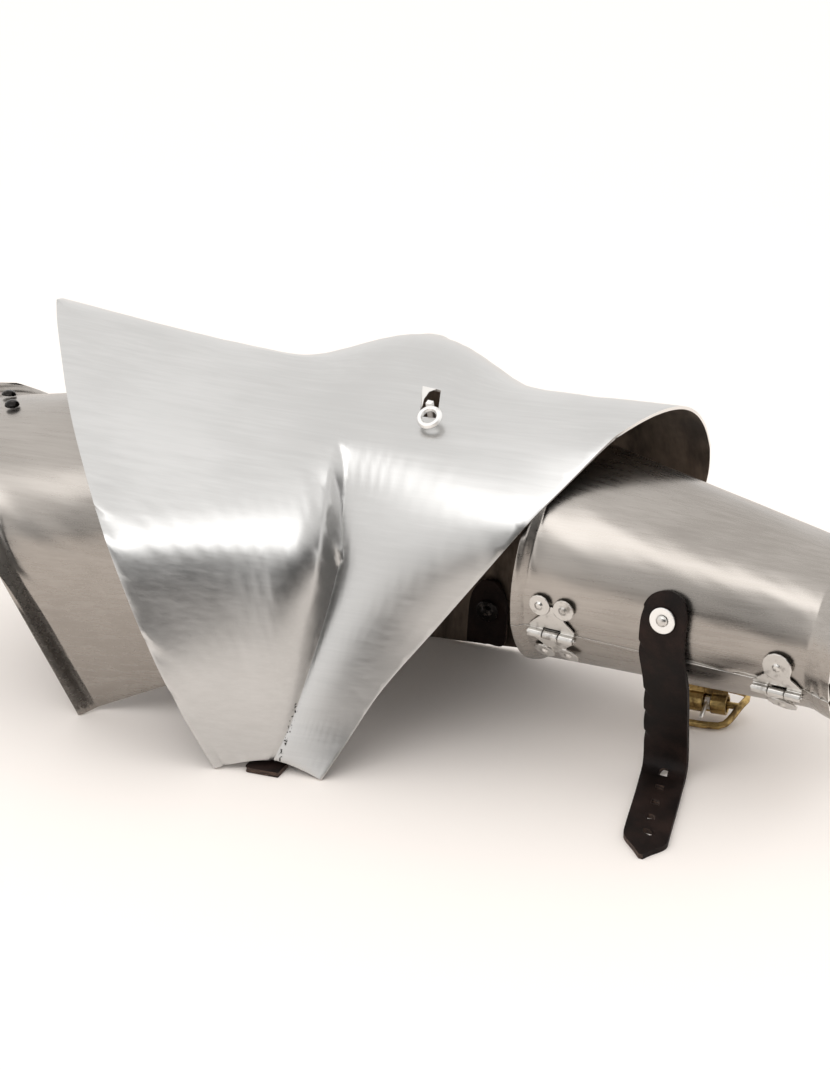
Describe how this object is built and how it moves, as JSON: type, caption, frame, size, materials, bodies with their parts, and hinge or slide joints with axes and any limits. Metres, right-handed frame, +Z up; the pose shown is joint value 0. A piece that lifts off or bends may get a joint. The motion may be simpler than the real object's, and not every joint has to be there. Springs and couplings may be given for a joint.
{
  "type": "plate arm armour",
  "caption": "Bare steel armour for one arm: winged elbow guard, upper arm gutter and hinged forearm tube with leather strap and brass buckle.",
  "frame": {"origin": "middle of the bounding box on the floor the armour lies on", "axes": "+X from the shoulder end to the wrist end, -Y towards the crook of the elbow, +Z up from the floor"},
  "size_m": [0.464, 0.193, 0.173],
  "materials": {
    "plate_steel": "satin, brushed by hand",
    "bright_steel": "bright, lightly worn",
    "black_steel": "blackened, glossy",
    "strap_leather": "dark brown, raw edges",
    "buckle_brass": "dull, lightly tarnished"
  },
  "bodies": {
    "arm": {"elbow_guard": "plate_steel", "guard_lug": "bright_steel", "guard_ring": "bright_steel", "upper_arm_plate": "plate_steel", "shoulder_rivet_1": "black_steel", "shoulder_rivet_2": "black_steel", "forearm_upper_shell": "plate_steel", "hinge_elbow_upper_leaf": "bright_steel", "hinge_elbow_pin": "bright_steel", "hinge_wrist_upper_leaf": "bright_steel", "hinge_wrist_pin": "bright_steel", "closing_strap": "strap_leather", "strap_washer": "bright_steel", "strap_rivet": "plate_steel", "elbow_strap": "strap_leather", "elbow_strap_rivet": "black_steel", "elbow_tab": "strap_leather", "upper_leather": "strap_leather", "lower_leather": "strap_leather"},
    "lower_shell": {"forearm_lower_shell": "plate_steel", "hinge_elbow_lower_leaf": "bright_steel", "hinge_wrist_lower_leaf": "bright_steel", "buckle_strap": "strap_leather", "buckle_strap_rivet": "plate_steel", "buckle_chape": "buckle_brass", "buckle_chape_rivet": "bright_steel"},
    "buckle": {"buckle_frame": "buckle_brass"},
    "prong": {"buckle_prong": "bright_steel"}
  },
  "joints": [
    {"name": "forearm_opens", "type": "hinge", "parent": "arm", "child": "lower_shell", "pos_m": [0.08854, -0.03512, 0.07038], "axis": [-0.9961, 0.0279, 0.0833], "range_deg": [0, 90], "deforming": ["closing_strap"]},
    {"name": "buckle_lifts", "type": "hinge", "parent": "lower_shell", "child": "buckle", "pos_m": [0.14264, 0.04589, 0.00762], "axis": [-1, 0, 0], "range_deg": [0, 30]},
    {"name": "prong_lifts", "type": "hinge", "parent": "buckle", "child": "prong", "pos_m": [0.14264, 0.04589, 0.00762], "axis": [-1, 0, 0], "range_deg": [0, 35]}
  ]
}
